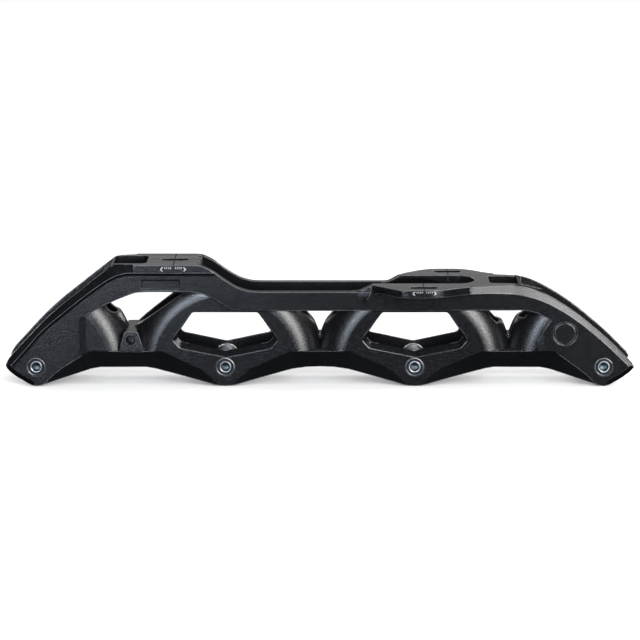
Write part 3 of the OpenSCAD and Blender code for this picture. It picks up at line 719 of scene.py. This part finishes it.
def axle_mesh(name, x):
    """Head with a rim, a turned groove, a collar and a hexagon socket; shank; thread cut at the far end."""
    n = 96
    th = np.arange(n) * 2 * math.pi / n
    hexagon = 2.0 / np.cos((th + math.pi / 6) % (math.pi / 3) - math.pi / 6)
    one = np.ones(n)
    rows = []

    def ring(r, y):
        rows.append((r * one, y * one))

    def socket(blend, y):
        rows.append((hexagon * blend + 2.75 * (1 - blend), y * one))

    ring(0.02, -13.35)
    ring(1.4, -13.6)
    rows.append((hexagon * 0.97, -13.7 * one))
    rows.append((hexagon, -13.78 * one))
    for y in np.linspace(-14.2, -15.5, 4):
        socket(1.0, y)
    rows.append((np.maximum(hexagon, 2.1), -15.75 * one))
    rows.append((np.maximum(hexagon, 2.32), -15.95 * one))
    for r, y in ((2.52, -16.22), (2.62, -16.42), (2.74, -16.54), (2.9, -16.6), (3.08, -16.6), (3.2, -16.54), (3.28, -16.42), (3.32, -16.2),
                 (3.36, -15.75), (3.46, -15.62), (3.7, -15.58), (4.1, -15.57), (4.4, -15.58), (4.56, -15.62), (4.66, -15.75), (4.68, -16.2),
                 (4.71, -16.42), (4.78, -16.54), (4.88, -16.59), (4.98, -16.56), (5.07, -16.48), (5.13, -16.36), (5.15, -16.22)):
        ring(r, y)
    ring(5.15, -14.5)
    ring(5.08, -14.28)
    ring(4.94, -14.16)
    ring(4.3, -14.12)
    ring(4.06, -14.02)
    ring(3.98, -13.8)
    for y in np.linspace(-13.2, 10.2, 16):
        ring(3.98, y)
    ring(3.94, 10.5)
    ring(3.66, 10.72)
    ring(3.62, 10.9)
    ring(3.62, 11.4)
    # thread, pitch 1 mm
    for y in np.arange(11.6, 16.06, 0.125):
        ph = (y + th / (2 * math.pi)) % 1.0
        tooth = np.clip(np.abs(ph - 0.5) * 2 * 1.25 - 0.12, 0.0, 1.0)
        run = min(1.0, (y - 11.6) / 0.6) * min(1.0, (16.3 - y) / 0.5)
        rows.append((3.98 - 0.52 * tooth * run - 0.30 * (1 - min(1.0, (y - 11.6) / 0.4)), y * one))
    ring(3.72, 16.3)
    ring(3.3, 16.72)
    ring(3.05, 16.8)
    ring(1.2, 16.8)
    ring(0.9, 16.55)
    ring(0.02, 16.2)
    v = np.concatenate([np.stack([x + r * np.cos(th), y, r * np.sin(th)], 1) for r, y in rows])
    i = np.arange(len(rows) - 1)[:, None] * n
    k = np.arange(n)[None, :]
    k1 = (k + 1) % n
    q = np.stack([i + k, i + k1, i + n + k1, i + n + k], -1).reshape(-1, 4)
    ob = add(name, mesh_of(name, v, q))
    ob.data.polygons.foreach_set("use_smooth", np.ones(len(ob.data.polygons), bool))
    sharp = ob.data.attributes.new("sharp_edge", "BOOLEAN", "EDGE")
    import bmesh
    bm = bmesh.new()
    bm.from_mesh(ob.data)
    bmesh.ops.recalc_face_normals(bm, faces=bm.faces)
    layer = bm.edges.layers.bool.get("sharp_edge")
    for e in bm.edges:
        e.smooth = not (len(e.link_faces) == 2 and e.calc_face_angle(0.0) > 0.7)
    bm.to_mesh(ob.data)
    bm.free()
    return ob


zinc = steel_material("zinc_steel", (0.84, 0.87, 0.90, 1), 0.29, (0.72, 0.75, 0.78, 1), head=True)
for i in range(4):
    ax = axle_mesh("axle_%d_turned" % (i + 1), AX[i])
    ax.data.materials.append(zinc)
    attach(ax, "axle_%d" % (i + 1))
    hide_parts("axle_%d" % (i + 1))

# painted shade: the brake insert is coloured near black so the lug hole reads as a dark hole in shade
dark = steel_material("steel_painted_shade", (0.050, 0.052, 0.056, 1), 0.34, (0.030, 0.031, 0.034, 1))
plain = steel_material("plain_steel", (0.46, 0.46, 0.47, 1), 0.30, (0.34, 0.34, 0.35, 1))
for name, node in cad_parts.items():
    if name.startswith(("axle_insert", "brake_insert")):
        ob = node if isinstance(node, bpy.types.Object) else bpy.data.objects.get(name)
        use = dark if name.startswith("brake") else plain
        for sl in ob.material_slots:
            sl.link = "OBJECT"
            sl.material = use

# ---------------------------------------------------------------- printed scales
def near_face(x, h):
    """Where the casting's outer surface lies on the skater's right."""
    ys = np.arange(-36.0, -12.0, 0.15)
    f = casting(x[:, None], np.broadcast_to(ys[None, :], (len(x), len(ys))), h[:, None])
    i = np.argmax(f < 0, axis=1)
    lo, hi = ys[i - 1].copy(), ys[i].copy()
    for _ in range(12):
        mid = (lo + hi) / 2
        inn = casting(x, mid, h) < 0
        hi, lo = np.where(inn, mid, hi), np.where(inn, lo, mid)
    return lo


def print_mesh(name, strokes):
    """Thin raised strokes of paint that follow the surface; each stroke is four corners in x and h."""
    v, q = [], []
    for st in strokes:
        st = np.asarray(st, float)
        n = 4
        t = np.linspace(0, 1, n)
        left = st[0] + (st[3] - st[0]) * t[:, None]
        right = st[1] + (st[2] - st[1]) * t[:, None]
        flat = np.concatenate([left, right])
        y = near_face(flat[:, 0], flat[:, 1])
        front = np.stack([flat[:, 0], y - 0.05, flat[:, 1]], 1)
        back = np.stack([flat[:, 0], y + 0.15, flat[:, 1]], 1)
        o = sum(len(b) for b in v)
        v.append(np.concatenate([front, back]))
        for i in range(n - 1):
            q.append((o + i, o + n + i, o + n + i + 1, o + i + 1))
            q.append((o + 2 * n + i, o + 2 * n + i + 1, o + 3 * n + i + 1, o + 3 * n + i))
            q.append((o + i, o + i + 1, o + 2 * n + i + 1, o + 2 * n + i))
            q.append((o + n + i, o + 3 * n + i, o + 3 * n + i + 1, o + n + i + 1))
        q.append((o, o + 2 * n, o + 3 * n, o + n))
        q.append((o + n - 1, o + 2 * n - 1, o + 4 * n - 1, o + 3 * n - 1))
    ob = add(name, mesh_of(name, np.concatenate(v), np.array(q)))
    return ob


def scale_marks(xc, tick_h, ticks, arrow_h, arrow, half):
    out = []
    for s in (-1, 1):
        for t in ticks:
            x = xc + s * t
            out.append([(x - 0.16, tick_h[0]), (x + 0.16, tick_h[0]), (x + 0.16, tick_h[1]), (x - 0.16, tick_h[1])])
        tip, root = xc + s * arrow[1], xc + s * arrow[0]
        for k in (-1, 1):
            out.append([(tip - 0.33, arrow_h), (tip + 0.33, arrow_h), (root + 0.33, arrow_h + k * half), (root - 0.33, arrow_h + k * half)][::k])
    return out


def paint_material():
    m = Nodes("white_print")
    pos = m.add("ShaderNodeTexCoord").outputs["Object"]
    n = m.noise(pos, 2600.0, 3.0, 0.6)
    m.set(m.bsdf, "Base Color", m.mix(m.ramp(n, 0.3, 0.62), (0.42, 0.43, 0.44, 1), (0.74, 0.75, 0.76, 1)))
    m.set(m.bsdf, "Roughness", m.ramp(n, 0.3, 0.7, 0.45, 0.6))
    m.set(m.bsdf, "Normal", m.add("ShaderNodeBump", {"Height": n, "Distance": 0.00002, "Strength": 0.4}).outputs[0])
    return m.mat


paint = paint_material()
for name, strokes in (
        ("heel_scale", scale_marks(-82.2, (56.35, 57.65), (1.3, 2.4, 3.5, 4.6), 56.3, (5.9, 7.0), 1.15)),
        ("toe_scale", scale_marks(58.0, (45.5, 46.35), (1.2, 2.2, 3.2, 4.2), 45.35, (5.4, 6.4), 1.05))):
    ob = print_mesh(name, strokes)
    ob.data.materials.append(paint)
    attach(ob, "frame")

# ---------------------------------------------------------------- stage
bpy.ops.mesh.primitive_plane_add(size=12, location=(0, 0, 0))
floor = bpy.context.object
floor.name = "floor"
fm = bpy.data.materials.new("floor")
fm.use_nodes = True
fm.node_tree.nodes["Principled BSDF"].inputs["Base Color"].default_value = (0.97, 0.97, 0.97, 1)
fm.node_tree.nodes["Principled BSDF"].inputs["Roughness"].default_value = 0.9
floor.data.materials.append(fm)

world = bpy.data.worlds.new("studio")
bpy.context.scene.world = world
world.use_nodes = True
wt = world.node_tree
sky = wt.nodes.new("ShaderNodeSeparateXYZ")
wt.links.new(wt.nodes.new("ShaderNodeTexCoord").outputs["Generated"], sky.inputs[0])
up = wt.nodes.new("ShaderNodeMapRange")
wt.links.new(sky.outputs[2], up.inputs["Value"])
for key, v in (("From Min", -0.05), ("From Max", 0.05), ("To Min", 0.03), ("To Max", 0.96)):
    up.inputs[key].default_value = v
wt.links.new(up.outputs[0], wt.nodes["Background"].inputs[1])
wt.nodes["Background"].inputs[0].default_value = (1, 1, 1, 1)
world.cycles_visibility.glossy = False
floor.visible_diffuse = False
floor.visible_glossy = False


def softbox(name, az, el, dist, size, radiance, tint=(1, 1, 1)):
    """A soft light that faces the object; az is measured from the camera's side towards the toe."""
    data = bpy.data.lights.new(name, "AREA")
    data.shape = "RECTANGLE"
    data.size, data.size_y = size
    data.energy = radiance * math.pi * size[0] * size[1]
    data.color = tint
    ob = bpy.data.objects.new(name, data)
    a, e = math.radians(az), math.radians(el)
    at = Vector((0, 0, 0.035))
    ob.location = at + Vector((math.sin(a) * math.cos(e), -math.cos(a) * math.cos(e), math.sin(e))) * dist
    ob.rotation_euler = (at - ob.location).to_track_quat("-Z", "Y").to_euler()
    ob.visible_camera = False
    bpy.context.scene.collection.objects.link(ob)
    return ob


softbox("right_box", 32, 9, 1.7, (0.78, 0.85), 8.8)
softbox("left_box", -15.5, 7, 2.1, (0.68, 0.81), 8.3, (0.87, 0.965, 1.12))
softbox("upper_box", 24, 31, 1.6, (1.0, 0.45), 5.4)
softbox("side_box", 82, 39, 1.3, (0.5, 0.36), 7.0)
softbox("back_box", 180, 18, 2.2, (2.4, 0.9), 0.56)
softbox("back_right_box", 138, 9, 1.3, (0.42, 0.50), 5.6)
softbox("back_left_box", -138, 9, 1.3, (0.42, 0.50), 5.6)
softbox("top_box", 180, 58, 1.6, (1.4, 0.6), 0.8)

bpy.context.scene.view_settings.view_transform = "Standard"

cam = bpy.data.cameras.new("camera")
cam.sensor_width = 36.0
cam.lens = 2815.0 / 640.0 * 36.0
cam.clip_end = 50
co_ = bpy.data.objects.new("camera", cam)
e = math.radians(11.96)
target = Vector((0, 0, 0.03456))
co_.location = target + Vector((0, -math.cos(e), math.sin(e))) * 1.598
co_.rotation_euler = (target - co_.location).to_track_quat("-Z", "Y").to_euler()
bpy.context.scene.collection.objects.link(co_)
bpy.context.scene.camera = co_
